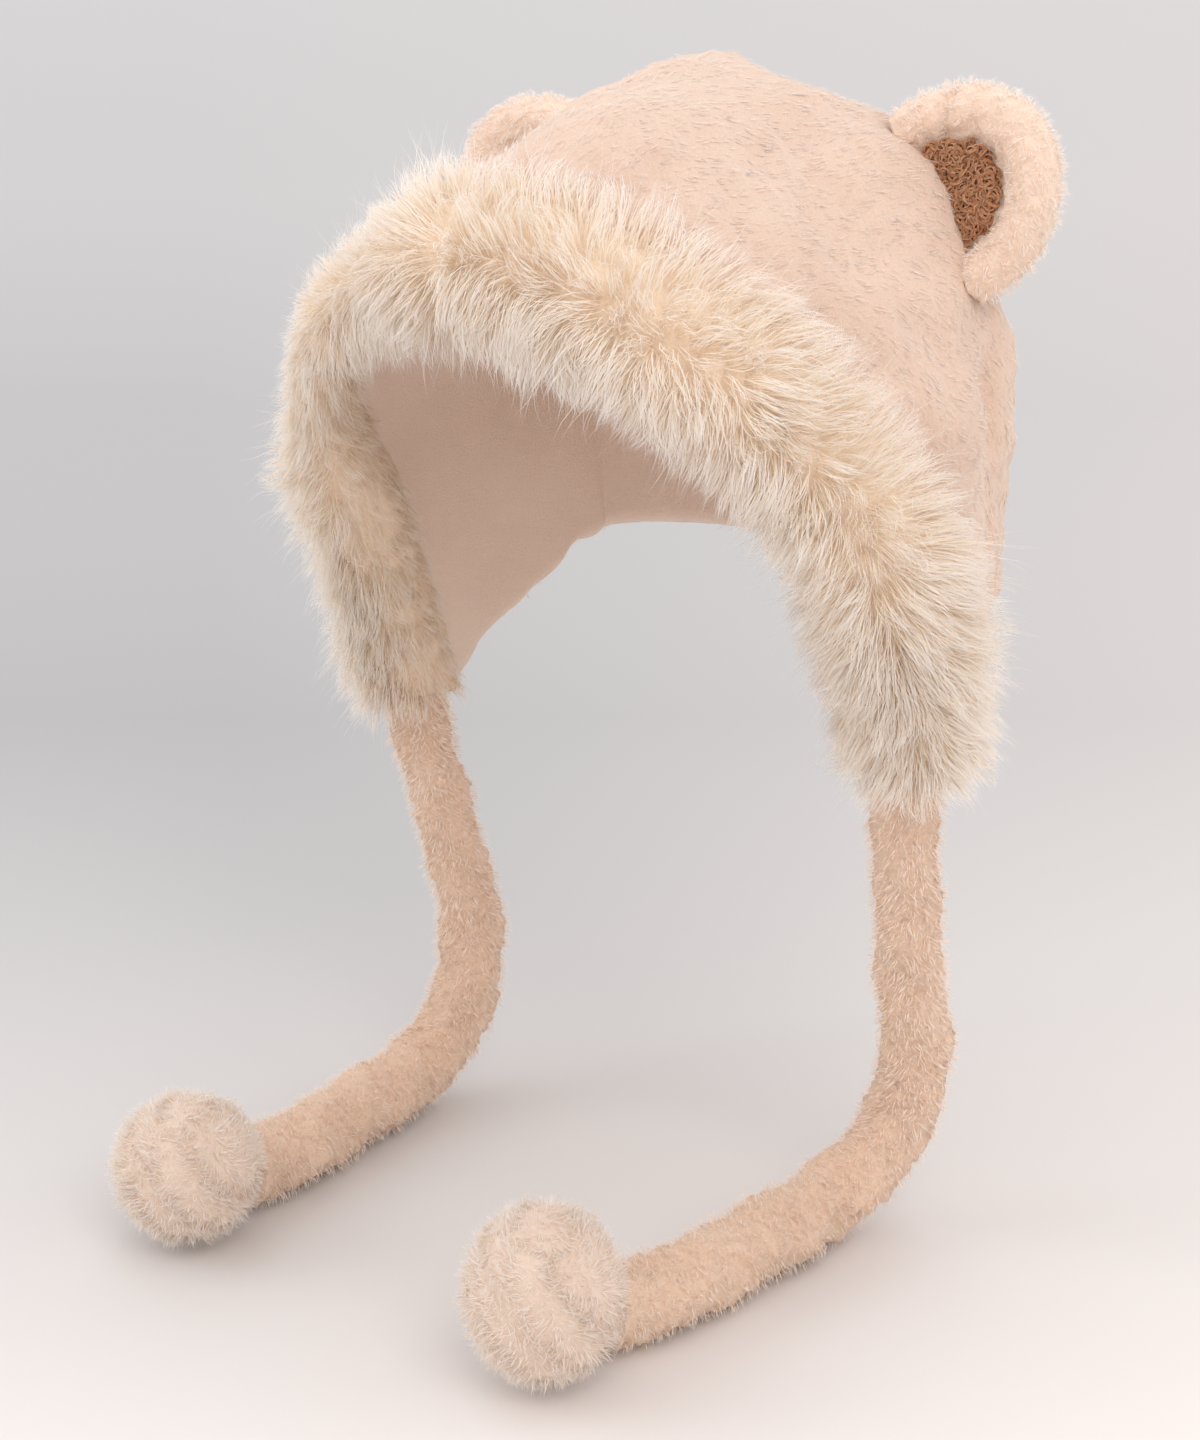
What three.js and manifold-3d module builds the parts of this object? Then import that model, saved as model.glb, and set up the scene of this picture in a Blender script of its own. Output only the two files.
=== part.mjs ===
import * as THREE from 'three';
import { mergeVertices } from 'three/addons/utils/BufferGeometryUtils.js';
import Module from 'manifold-3d';

// Plush winter bonnet with bear ears, a long-fur trim round the face and two plush ties with pompoms.
// Millimetres, +Z up. The origin is the head seat, inside the top of the crown. The hat faces -Y.

// Driving sizes of the hood
const hoodWidth = 212;
const hoodDepth = 194;
const hoodHeight = 210;
const hoodWall = 12;
const seamGroove = 3;
const seamGrooveWidth = 14;
const rightFlapDrop = 12;
const dropFromU = 0.25;
const dropFromV = 0.1;
const crownSlump = 12;
const clearance = 0.3;
const weldDistance = 0.001;

// Driving sizes of the fur trim
const trimWidth = 80;
const trimHeight = 26;
const lockCount = 24;
const lockDroop = 12;
const flapFlare = 0.45;
const seatSink = 3;
const seatReach = 0.25;
const capReach = 0.1;

// Driving sizes of the ears
const earWidth = 70;
const earHeight = 41;
const earThickness = 19;
const earDish = 7;
const earCup = 6;
const earPatchThickness = 2.4;
const patchReach = 0.48;
const patchBevel = 0.08;
const earPosition = 0.36;
const earSides = 24;

// Driving sizes of the ties and pompoms
const tieDiameter = 26;
const tieSides = 10;
const tieSteps = 20;
const pompomDiameter = 48;
const tuftLength = 4;
const tuftWidth = 15;
const tuftCount = 28;
const tuftSides = 5;
const ballDetail = 3;

// Rows of the hood from the face edge over the crown to the nape hem. y is a share of hoodDepth,
// z of hoodHeight and x of half the hoodWidth. Top is the middle of an arch, side its widest
// point and foot its end at the lower hem. A square of 2 makes a round arch, more a boxier one.
const hoodRows = {
  faceEdge: {
    topY: -0.43, topZ: -0.2, sideX: 0.93, sideY: -0.124, sideZ: -0.6,
    footX: 0.95, footY: 0.03, footZ: -0.93, square: 1.95,
  },
  frontCrown: {
    topY: -0.26, topZ: -0.03, sideX: 0.975, sideY: -0.02, sideZ: -0.54,
    footX: 0.97, footY: 0.085, footZ: -0.925, square: 1.75,
  },
  midCrown: {
    topY: 0.0, topZ: 0.04, sideX: 1, sideY: 0.11, sideZ: -0.51,
    footX: 0.98, footY: 0.15, footZ: -0.895, square: 1.75,
  },
  earSeam: {
    topY: 0.26, topZ: 0.035, sideX: 0.94, sideY: 0.26, sideZ: -0.475,
    footX: 0.92, footY: 0.25, footZ: -0.85, square: 2.4,
  },
  upperBack: {
    topY: 0.43, topZ: -0.105, sideX: 0.89, sideY: 0.335, sideZ: -0.5,
    footX: 0.87, footY: 0.3, footZ: -0.83, square: 2.1,
  },
  lowerBack: {
    topY: 0.535, topZ: -0.38, sideX: 0.84, sideY: 0.385, sideZ: -0.61,
    footX: 0.84, footY: 0.335, footZ: -0.815, square: 2,
  },
  napeHem: {
    topY: 0.53, topZ: -0.75, sideX: 0.81, sideY: 0.4, sideZ: -0.78,
    footX: 0.81, footY: 0.36, footZ: -0.8, square: 2,
  },
};
const seamAt = Object.keys(hoodRows).indexOf('earSeam') / (Object.keys(hoodRows).length - 1);
const sideShare = 0.62;
const crownSteps = 10;
const sideSteps = 4;

// Soft dents of the plush. u runs from 0 at the top of an arch to 1 at its foot, v from 0 at the
// face edge to 1 at the nape hem, depth is a share of hoodWall and the widths are shares of u and v.
const dents = [
  { name: 'tuck under the ear', side: 1, u: 0.6, v: 0.46, depth: 0.42, uWidth: 0.05, vWidth: 0.06 },
  { name: 'tuck under the ear', side: -1, u: 0.6, v: 0.46, depth: 0.42, uWidth: 0.05, vWidth: 0.06 },
  { name: 'crown pinch', side: 1, u: 0.08, v: 0.45, depth: 0.26, uWidth: 0.04, vWidth: 0.05 },
  { name: 'nape fold', side: 1, u: 0.1, v: 0.82, depth: 0.3, uWidth: 0.2, vWidth: 0.035 },
  { name: 'nape fold', side: -1, u: 0.1, v: 0.82, depth: 0.3, uWidth: 0.2, vWidth: 0.035 },
];

// The outer side of the trim's section, from the fringe inside the face edge round the parting
// ridge to the fringe on the crown. back is the way from the face edge, as a share of trimWidth,
// height the way above the plush, as a share of trimHeight; tipBack and tipHeight are the same at
// the tips of the locks. droop is the share of lockDroop by which a tip hangs, flare the share of
// flapFlare by which it grows towards the flaps, and shift staggers the locks from row to row.
const trimRows = [
  { back: -0.17, height: -0.6, tipBack: -0.2, tipHeight: -1.15, droop: 1, flare: 0.2, shift: 0 },
  { back: -0.24, height: -0.12, tipBack: -0.32, tipHeight: -0.45, droop: 0.9, flare: 0.2, shift: 1 },
  { back: -0.22, height: 0.34, tipBack: -0.31, tipHeight: 0.3, droop: 0.7, flare: 0.1, shift: 2 },
  { back: -0.12, height: 0.66, tipBack: -0.15, tipHeight: 0.9, droop: 0.3, flare: 0, shift: 0 },
  { back: 0.02, height: 0.72, tipBack: 0.1, tipHeight: 0.95, droop: 0.1, flare: 0.3, shift: 1 },
  { back: 0.18, height: 0.5, tipBack: 0.3, tipHeight: 0.7, droop: 0, flare: 0.7, shift: 2 },
  { back: 0.3, height: 0.16, tipBack: 0.48, tipHeight: 0.24, droop: 0.1, flare: 1, shift: 0 },
];
const lockShape = [0, 1, 0.4];
const lockWave = 0.22;
const lockSway = 3.7;

// Section of an ear, from the middle of its dished front round the rim to the middle of its back.
// reach is a share of half the earWidth, height a share of half the earThickness.
const earProfile = [
  { reach: 0, height: 1 - 2 * earDish / earThickness },
  { reach: 0.5, height: 1 - 2 * earDish / earThickness },
  { reach: 0.58, height: 0.66 },
  { reach: 0.7, height: 0.97 },
  { reach: 0.86, height: 0.9 },
  { reach: 0.97, height: 0.45 },
  { reach: 1, height: -0.1 },
  { reach: 0.92, height: -0.6 },
  { reach: 0.68, height: -0.9 },
  { reach: 0.35, height: -1 },
  { reach: 0, height: -1 },
];

// Routes of the ties, from inside the flap to inside the pompom, with each pompom's centre.
const ties = [
  {
    side: 'left',
    route: [
      [101, -2, -188], [101, 0, -212], [99, 6, -237], [96, 13, -262], [94, 21, -286], [92, 26, -307],
      [88, 24, -326], [83, 12, -341], [78, -6, -349], [76, -30, -350], [74, -58, -350],
      [70, -86, -350], [66, -108, -347],
    ],
    pompom: [63, -131, -332],
    stretch: 1.16,
  },
  {
    side: 'right',
    route: [
      [-100, -2, -200], [-100, 3, -224], [-98, 9, -248], [-95, 15, -274], [-93, 19, -298],
      [-92, 18, -318], [-93, 9, -335], [-94, -7, -347], [-93, -30, -350], [-90, -55, -350],
      [-87, -82, -350], [-86, -108, -348],
    ],
    pompom: [-85, -132, -336],
    stretch: 1,
  },
];

const materials = {
  hood: new THREE.MeshStandardMaterial({ color: 0xd9bfae, roughness: 0.95, metalness: 0 }),
  trim: new THREE.MeshStandardMaterial({ color: 0xcfb9a4, roughness: 0.9, metalness: 0 }),
  patch: new THREE.MeshStandardMaterial({ color: 0x8a6650, roughness: 1, metalness: 0 }),
  tie: new THREE.MeshStandardMaterial({ color: 0xd8beb2, roughness: 0.95, metalness: 0 }),
};

const wasm = await Module();
wasm.setup();

// Joining and cutting
function toSolid(geometry) {
  const bare = geometry.clone();
  bare.deleteAttribute('normal');
  bare.deleteAttribute('uv');
  const merged = mergeVertices(bare, weldDistance);
  return new wasm.Manifold(new wasm.Mesh({
    numProp: 3,
    vertProperties: new Float32Array(merged.attributes.position.array),
    triVerts: new Uint32Array(merged.index.array),
  }));
}

function plainGeometry(positions, corners) {
  const geometry = new THREE.BufferGeometry();
  geometry.setAttribute('position', new THREE.BufferAttribute(positions, 3));
  geometry.setIndex([...corners]);
  return geometry;
}

// Faces that meet along edges form a skin, and only the largest one is kept, so that no hollow
// stays shut in between joined locks. Welding first closes the hair-thin ways into such hollows.
function toGeometry(solid) {
  const rough = solid.getMesh();
  const mesh = toSolid(plainGeometry(rough.vertProperties, rough.triVerts)).getMesh();
  const corners = mesh.triVerts;
  const faceCount = corners.length / 3;
  const parent = [...Array(faceCount).keys()];
  const rootOf = (face) => {
    while (parent[face] !== face) face = parent[face] = parent[parent[face]];
    return face;
  };
  const faceOfEdge = new Map();
  for (let face = 0; face < faceCount; face++) {
    for (let side = 0; side < 3; side++) {
      const ends = [corners[3 * face + side], corners[3 * face + (side + 1) % 3]];
      const edge = Math.min(...ends) + '/' + Math.max(...ends);
      if (faceOfEdge.has(edge)) parent[rootOf(face)] = rootOf(faceOfEdge.get(edge));
      faceOfEdge.set(edge, face);
    }
  }
  const skins = new Map();
  for (let face = 0; face < faceCount; face++) {
    const root = rootOf(face);
    if (!skins.has(root)) skins.set(root, []);
    skins.get(root).push(...corners.subarray(3 * face, 3 * face + 3));
  }
  const largest = [...skins.values()].reduce((a, b) => (a.length > b.length ? a : b));
  const geometry = plainGeometry(mesh.vertProperties, largest);
  geometry.computeVertexNormals();
  return geometry;
}

// A closed body through rings of points, each ring turning the same way, closed by a fan at each end.
function bodyOfRings(rings, firstPole, lastPole) {
  const points = rings.flat();
  const count = rings[0].length;
  const index = [];
  for (let row = 0; row < rings.length - 1; row++) {
    for (let i = 0; i < count; i++) {
      const a = row * count + i;
      const b = row * count + (i + 1) % count;
      index.push(a, b, b + count, a, b + count, a + count);
    }
  }
  const first = points.push(firstPole) - 1;
  const last = points.push(lastPole) - 1;
  const start = (rings.length - 1) * count;
  for (let i = 0; i < count; i++) {
    const next = (i + 1) % count;
    index.push(first, next, i, last, start + i, start + next);
  }
  return indexed(points, index);
}

function indexed(points, index) {
  const geometry = new THREE.BufferGeometry().setFromPoints(points);
  geometry.setIndex(index);
  geometry.computeVertexNormals();
  return geometry;
}

// The hood's outer form: each column of the table runs as one smooth line from row to row
function smoothLine(x, y, z) {
  const points = Object.values(hoodRows).map((row) => new THREE.Vector3(
    x ? row[x] * hoodWidth / 2 : 0, row[y] * hoodDepth, row[z] * hoodHeight));
  return new THREE.CatmullRomCurve3(points);
}

const topLine = smoothLine('', 'topY', 'topZ');
const sideLine = smoothLine('sideX', 'sideY', 'sideZ');
const footLine = smoothLine('footX', 'footY', 'footZ');

function squareAt(v) {
  const squares = Object.values(hoodRows).map((row) => row.square);
  const place = v * (squares.length - 1);
  const row = Math.min(Math.floor(place), squares.length - 2);
  return THREE.MathUtils.lerp(squares[row], squares[row + 1], place - row);
}

// Where the soft crown slumps on the right: it sets in at rise, is full from top to ease and gone
// at end, as shares of u and of v.
const slumpRange = {
  u: { rise: 0, top: 0.1, ease: 0.4, end: 0.8 },
  v: { rise: 0, top: 0.3, ease: 0.6, end: 0.95 },
};

function plateau(x, { rise, top, ease, end }) {
  return THREE.MathUtils.smoothstep(x, rise, top) * (1 - THREE.MathUtils.smoothstep(x, ease, end));
}

// A point of the smooth form. u runs from -1 at the right foot over the top to 1 at the left foot.
function formPoint(u, v) {
  const share = Math.abs(u);
  const top = topLine.getPoint(v);
  const side = sideLine.getPoint(v);
  const point = new THREE.Vector3();
  if (share <= sideShare) {
    const turn = (1 - share / sideShare) * Math.PI / 2;
    const across = Math.cos(turn) ** (2 / squareAt(v));
    const up = Math.sin(turn) ** (2 / squareAt(v));
    point.set(side.x * across, side.y + (top.y - side.y) * up, side.z + (top.z - side.z) * up);
  } else {
    point.lerpVectors(side, footLine.getPoint(v), (share - sideShare) / (1 - sideShare));
  }
  if (u < 0) {
    point.x = -point.x;
    const drop = THREE.MathUtils.smoothstep(share, dropFromU, 1);
    point.z -= rightFlapDrop * drop * (1 - THREE.MathUtils.smoothstep(v, dropFromV, 1));
    point.z -= crownSlump * plateau(share, slumpRange.u) * plateau(v, slumpRange.v);
  }
  return point;
}

// Outward normal and the direction of growing v on the smooth form.
function formFrame(u, v) {
  const step = 0.004;
  const alongU = formPoint(Math.min(u + step, 1), v).sub(formPoint(Math.max(u - step, -1), v));
  const alongV = formPoint(u, Math.min(v + step, 1)).sub(formPoint(u, Math.max(v - step, 0)));
  const normal = new THREE.Vector3().crossVectors(alongU, alongV).normalize();
  return { normal, back: alongV.normalize() };
}

function reliefAt(u, v) {
  const seamDistance = (v - seamAt) * hoodDepth;
  let relief = -seamGroove * Math.exp(-((seamDistance / seamGrooveWidth) ** 2));
  for (const dent of dents) {
    const du = (u - dent.side * dent.u) / dent.uWidth;
    const dv = (v - dent.v) / dent.vWidth;
    relief -= dent.depth * hoodWall * Math.exp(-(du * du + dv * dv));
  }
  return relief;
}

// A point of the wall: depth 0 is the plush surface and depth hoodWall the lining.
function wallPoint(u, v, depth) {
  const { normal } = formFrame(u, v);
  const relief = reliefAt(u, v) * (1 - depth / hoodWall);
  return formPoint(u, v).addScaledVector(normal, relief - depth);
}

// A curved slab of the hood between two arches. depths holds its outer and inner depth, and front
// and back shift its two edge arches along the surface.
function slab(vFrom, vTo, vSteps, depths, front, back) {
  const us = [];
  for (let i = 0; i <= sideSteps; i++) us.push(1 - (1 - sideShare) * i / sideSteps);
  for (let i = 1; i <= crownSteps; i++) us.push(sideShare * (1 - i / crownSteps));
  const across = [...us, ...us.slice(0, -1).reverse().map((u) => -u)];
  const layers = depths.map((depth) => {
    const points = [];
    for (let j = 0; j <= vSteps; j++) {
      const v = vFrom + (vTo - vFrom) * j / vSteps;
      for (const u of across) {
        const point = wallPoint(u, v, depth);
        const shift = j === 0 ? front : j === vSteps ? back : 0;
        points.push(point.addScaledVector(formFrame(u, v).back, shift));
      }
    }
    return points;
  });
  const n = across.length;
  const inner = layers[0].length;
  const index = [];
  const quad = (a, b, c, d) => index.push(a, b, c, a, c, d);
  for (let j = 0; j < vSteps; j++) {
    for (let i = 0; i < n - 1; i++) {
      const a = j * n + i;
      quad(a, a + n, a + n + 1, a + 1);
      quad(inner + a, inner + a + 1, inner + a + n + 1, inner + a + n);
    }
    const right = j * n + n - 1;
    const left = j * n;
    quad(right, right + n, inner + right + n, inner + right);
    quad(left, inner + left, inner + left + n, left + n);
  }
  const last = vSteps * n;
  for (let i = 0; i < n - 1; i++) {
    quad(i, i + 1, inner + i + 1, inner + i);
    quad(last + i, inner + last + i, inner + last + i + 1, last + i + 1);
  }
  return indexed([...layers[0], ...layers[1]], index);
}

// A point of the trim: back is the way from the face edge, up the way above the plush.
function trimPoint(u, back, up) {
  const reach = 0.15;
  const speed = formPoint(u, 0).distanceTo(formPoint(u, reach)) / reach;
  if (back > 0) return wallPoint(u, back / speed, -up);
  return wallPoint(u, 0, -up).addScaledVector(formFrame(u, 0).back, back);
}

// The fur trim: a backing that wraps the face edge, with the locks fused to it
function trimBody() {
  const steps = lockCount * lockShape.length;
  const rings = [];
  for (let i = 0; i <= steps; i++) {
    const u = 1 - 2 * i / steps;
    const ring = [
      trimPoint(u, trimWidth * seatReach, -seatSink), trimPoint(u, trimWidth * capReach, -seatSink),
      trimPoint(u, seatSink, -hoodWall / 2),
    ];
    for (const row of trimRows) {
      const wave = 1 + lockWave * Math.sin(lockSway * i + row.shift);
      const tip = lockShape[(i + row.shift) % lockShape.length] * wave;
      const flare = 1 + flapFlare * row.flare * u * u;
      const back = THREE.MathUtils.lerp(row.back, row.tipBack, tip) * trimWidth * flare;
      const up = THREE.MathUtils.lerp(row.height, row.tipHeight, tip) * trimHeight;
      const point = trimPoint(u, back, up);
      point.z -= row.droop * lockDroop * tip;
      ring.push(point);
    }
    rings.push(ring);
  }
  const cap = (u) => trimPoint(u, -trimWidth * capReach, trimHeight * seatReach);
  return bodyOfRings(rings, cap(1), cap(-1));
}

// The ears, sewn into the seam over the crown
function earFrame(side) {
  const u = side * earPosition;
  const { normal, back } = formFrame(u, seamAt);
  const out = normal.clone().addScaledVector(back, -normal.dot(back)).normalize();
  const along = new THREE.Vector3().crossVectors(out, back).normalize();
  return { middle: wallPoint(u, seamAt, 0), out, along, front: back.clone().negate() };
}

function earPoint(frame, reach, height, turn) {
  const lift = reach * Math.sin(turn);
  return frame.middle.clone()
    .addScaledVector(frame.along, reach * Math.cos(turn) * earWidth / 2)
    .addScaledVector(frame.out, lift * earHeight)
    .addScaledVector(frame.front, height + earCup * lift * Math.abs(lift));
}

function earBody(frame, profile) {
  const rings = profile.slice(1, -1).map((row) => [...Array(earSides).keys()].map(
    (i) => earPoint(frame, row.reach, row.height, 2 * Math.PI * i / earSides)));
  const [first, last] = [profile[0], profile.at(-1)].map((row) => earPoint(frame, 0, row.height, 0));
  return bodyOfRings(rings, first, last);
}

// A tie follows its route as a round tube; grow widens it for cuts.
function tieTube(route, grow) {
  const curve = new THREE.CatmullRomCurve3(route.map((point) => new THREE.Vector3(...point)));
  const section = new THREE.Shape();
  for (let i = 0; i < tieSides; i++) {
    const turn = 2 * Math.PI * i / tieSides;
    const x = Math.cos(turn) * (tieDiameter / 2 + grow);
    const y = Math.sin(turn) * (tieDiameter / 2 + grow);
    if (i === 0) section.moveTo(x, y); else section.lineTo(x, y);
  }
  return new THREE.ExtrudeGeometry(section, { steps: tieSteps, bevelEnabled: false, extrudePath: curve });
}

// A pompom: a ball with short tufts all over, spread evenly along a spiral
function pompom(centre, stretch) {
  const middle = new THREE.Vector3(...centre);
  const ball = new THREE.IcosahedronGeometry(pompomDiameter / 2, ballDetail);
  ball.scale(1, 1, stretch).translate(...centre);
  let solid = toSolid(ball);
  const golden = Math.PI * (3 - Math.sqrt(5));
  for (let i = 0; i < tuftCount; i++) {
    const height = 1 - 2 * (i + 0.5) / tuftCount;
    const turn = golden * i;
    const level = Math.sqrt(1 - height * height);
    const radial = new THREE.Vector3(Math.cos(turn) * level, Math.sin(turn) * level, height);
    const turned = new THREE.Quaternion().setFromUnitVectors(new THREE.Vector3(0, 0, 1), radial);
    const cone = new THREE.ConeGeometry(tuftWidth / 2, tuftLength * 2, tuftSides);
    cone.rotateX(Math.PI / 2).applyQuaternion(turned);
    const seat = new THREE.Vector3(radial.x, radial.y, radial.z * stretch)
      .multiplyScalar(pompomDiameter / 2).add(middle);
    cone.translate(seat.x, seat.y, seat.z);
    solid = solid.add(toSolid(cone));
  }
  return solid;
}

const hat = new THREE.Group();

function addPiece(name, geometry, material) {
  const mesh = new THREE.Mesh(geometry, material);
  mesh.name = name;
  hat.add(mesh);
}

const frontSteps = 12;
const backSteps = 10;
const wall = [0, hoodWall];
const seam = clearance / 2;
addPiece('hood_front', slab(0, seamAt, frontSteps, wall, 0, -seam), materials.hood);
addPiece('hood_back', slab(seamAt, 1, backSteps, wall, seam, 0), materials.hood);

// Cutters: the wall grown by the clearance, and a thick one that also fills the space inside
function hoodCut(depths, front) {
  const frontSlab = toSolid(slab(0, seamAt, frontSteps, depths, front, 0));
  return frontSlab.add(toSolid(slab(seamAt, 1, backSteps, depths, 0, 0)));
}

const wallCut = hoodCut([-clearance, hoodWall + clearance], -clearance);
const deepCut = hoodCut([-clearance, earWidth / 2], 0);
let trim = toSolid(trimBody()).subtract(wallCut);

for (const tie of ties) {
  const cut = toSolid(tieTube(tie.route, clearance));
  trim = trim.subtract(cut);
  addPiece('pompom_' + tie.side, toGeometry(pompom(tie.pompom, tie.stretch).subtract(cut)), materials.tie);
  addPiece('tie_' + tie.side, toGeometry(toSolid(tieTube(tie.route, 0)).subtract(wallCut)), materials.tie);
}
addPiece('fur_trim', toGeometry(trim), materials.trim);

for (const [side, word] of [[1, 'left'], [-1, 'right']]) {
  const frame = earFrame(side);
  const rows = earProfile.map((row) => ({ reach: row.reach, height: row.height * earThickness / 2 }));
  addPiece('ear_' + word, toGeometry(toSolid(earBody(frame, rows)).subtract(deepCut)), materials.hood);
  const floor = earThickness / 2 - earDish + clearance;
  const top = floor + earPatchThickness;
  const patch = [
    { reach: 0, height: top }, { reach: patchReach - patchBevel, height: top },
    { reach: patchReach, height: floor + earPatchThickness / 2 }, { reach: patchReach, height: floor },
    { reach: 0, height: floor },
  ];
  const lining = toSolid(earBody(frame, patch)).subtract(deepCut);
  addPiece('ear_lining_' + word, toGeometry(lining), materials.patch);
}

export default hat;
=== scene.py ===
import math

import bpy
import numpy as np
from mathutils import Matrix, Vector
from mathutils.kdtree import KDTree


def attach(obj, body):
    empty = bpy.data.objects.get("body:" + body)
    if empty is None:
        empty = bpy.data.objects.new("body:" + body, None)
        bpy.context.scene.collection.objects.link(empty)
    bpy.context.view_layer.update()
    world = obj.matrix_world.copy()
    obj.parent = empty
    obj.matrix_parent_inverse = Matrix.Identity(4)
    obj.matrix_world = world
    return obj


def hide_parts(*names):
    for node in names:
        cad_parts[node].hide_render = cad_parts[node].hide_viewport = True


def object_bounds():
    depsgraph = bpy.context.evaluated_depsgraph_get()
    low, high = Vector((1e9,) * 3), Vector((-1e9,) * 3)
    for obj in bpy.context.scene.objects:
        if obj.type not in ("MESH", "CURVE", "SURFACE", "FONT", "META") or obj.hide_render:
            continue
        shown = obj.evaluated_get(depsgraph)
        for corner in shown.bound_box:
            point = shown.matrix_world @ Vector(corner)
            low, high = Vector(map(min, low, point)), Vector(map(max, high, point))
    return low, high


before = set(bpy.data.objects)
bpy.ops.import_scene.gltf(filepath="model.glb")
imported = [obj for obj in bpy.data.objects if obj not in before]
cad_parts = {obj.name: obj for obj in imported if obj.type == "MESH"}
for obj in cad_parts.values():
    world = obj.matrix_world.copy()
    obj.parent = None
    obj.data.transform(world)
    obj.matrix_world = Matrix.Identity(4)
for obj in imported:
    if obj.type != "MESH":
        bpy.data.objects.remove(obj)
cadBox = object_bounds()
bpy.ops.object.select_all(action="DESELECT")
dice = np.random.default_rng(12)
floorLevel = cadBox[0][2] - 0.0005

# The camera stands at the photograph's angle

view = {"place": (0.528, -0.699, 0.074), "tilt": 72.6, "turn": 38.0, "lens": 70}
bpy.ops.object.camera_add(
    location=view["place"],
    rotation=(math.radians(view["tilt"]), 0, math.radians(view["turn"])),
)
bpy.context.object.data.lens = view["lens"]
bpy.context.scene.camera = bpy.context.object


# Small helpers for points and vectors


def unit(vectors):
    return vectors / np.maximum(np.linalg.norm(vectors, axis=-1, keepdims=True), 1e-9)


def paint(red, green, blue):
    # a colour as a paint chart gives it, 0 to 255, as Blender wants it
    shares = [c / 255 for c in (red, green, blue)]
    return tuple([c / 12.92 if c < 0.04 else ((c + 0.055) / 1.055) ** 2.4 for c in shares] + [1])


def smoothStep(x, low, high):
    t = np.clip((x - low) / (high - low), 0, 1)
    return t * t * (3 - 2 * t)


def catmullRom(points, places):
    # a centripetal curve through the points; places run from 0 to 1
    points = np.asarray(points, float)
    places = np.clip(np.asarray(places, float), 0, 1)
    spread = np.vstack([2 * points[0] - points[1], points, 2 * points[-1] - points[-2]])
    at = places * (len(points) - 1)
    cell = np.minimum(at.astype(int), len(points) - 2)
    w = (at - cell)[..., None]
    a, b, c, d = (spread[cell + k] for k in range(4))
    s, m, e = (
        np.linalg.norm(q - p, axis=-1, keepdims=True) ** 0.5 for p, q in ((a, b), (b, c), (c, d))
    )
    start = ((b - a) / s - (c - a) / (s + m) + (c - b) / m) * m
    end = ((c - b) / m - (d - b) / (m + e) + (d - c) / e) * m
    cubic = 2 * b - 2 * c + start + end
    square = -3 * b + 3 * c - 2 * start - end
    return b + w * (start + w * (square + w * cubic))


fineSteps = 400


def alongRoute(route, count):
    # points at even distances along a smooth route
    fine = catmullRom(route, np.linspace(0, 1, fineSteps))
    run = np.concatenate([[0], np.cumsum(np.linalg.norm(np.diff(fine, axis=0), axis=1))])
    even = np.linspace(0, run[-1], count)
    return np.stack([np.interp(even, run, fine[:, k]) for k in range(3)], axis=1), run[-1]


# Materials: a wire carries a value through the shader, and sums on wires add nodes


class Wire:
    def __init__(self, tree, socket=None):
        self.tree = tree
        self.socket = socket

    def node(self, kind, settings, places, output=0):
        made = self.tree.nodes.new(kind)
        for key, value in settings.items():
            if key == "stops":
                ramp = made.color_ramp.elements
                while len(ramp) < len(value):
                    ramp.new(0.5)
                for stop, (place, colour) in zip(ramp, value):
                    stop.position = place
                    stop.color = colour
            else:
                setattr(made, key, value)
        for key, value in places.items():
            if isinstance(value, Wire):
                self.tree.links.new(value.socket, made.inputs[key])
            else:
                made.inputs[key].default_value = value
        return Wire(self.tree, made.outputs[output])

    def calc(self, operation, first, second):
        return self.node("ShaderNodeMath", {"operation": operation}, {0: first, 1: second})

    def __add__(self, other):
        return self.calc("ADD", self, other)

    def __sub__(self, other):
        return self.calc("SUBTRACT", self, other)

    def __rsub__(self, other):
        return self.calc("SUBTRACT", other, self)

    def __mul__(self, other):
        return self.calc("MULTIPLY", self, other)

    def __truediv__(self, other):
        return self.calc("DIVIDE", self, other)

    def __rtruediv__(self, other):
        return self.calc("DIVIDE", other, self)

    __radd__ = __add__
    __rmul__ = __mul__

    def noise(self, place, scale, detail):
        return self.node(
            "ShaderNodeTexNoise", {}, {"Vector": place, "Scale": scale, "Detail": detail}
        )

    def mix(self, share, first, second):
        return self.node(
            "ShaderNodeMix", {"data_type": "RGBA"}, {0: share, 6: first, 7: second}, 2
        )

    def bump(self, height, strength, distance):
        return self.node(
            "ShaderNodeBump", {}, {"Height": height, "Strength": strength, "Distance": distance}
        )


def newMaterial(name):
    made = bpy.data.materials.new(name)
    made.use_nodes = True
    tree = made.node_tree
    shader = next(n for n in tree.nodes if n.type == "BSDF_PRINCIPLED")
    return made, Wire(tree), shader


def connect(shader, place, wire):
    wire.tree.links.new(wire.socket, shader.inputs[place])


def setFinish(shader, finish):
    shader.inputs["Roughness"].default_value = finish["roughness"]
    shader.inputs["Sheen Weight"].default_value = finish["sheen"]
    shader.inputs["Sheen Roughness"].default_value = finish["sheenRoughness"]
    shader.inputs["Sheen Tint"].default_value = finish["sheenTint"]
    shader.inputs["Specular IOR Level"].default_value = finish["gloss"]
    shader.inputs["Subsurface Weight"].default_value = finish["glow"]
    shader.inputs["Subsurface Radius"].default_value = (1, 0.8, 0.6)
    shader.inputs["Subsurface Scale"].default_value = finish["glowDepth"]


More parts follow.
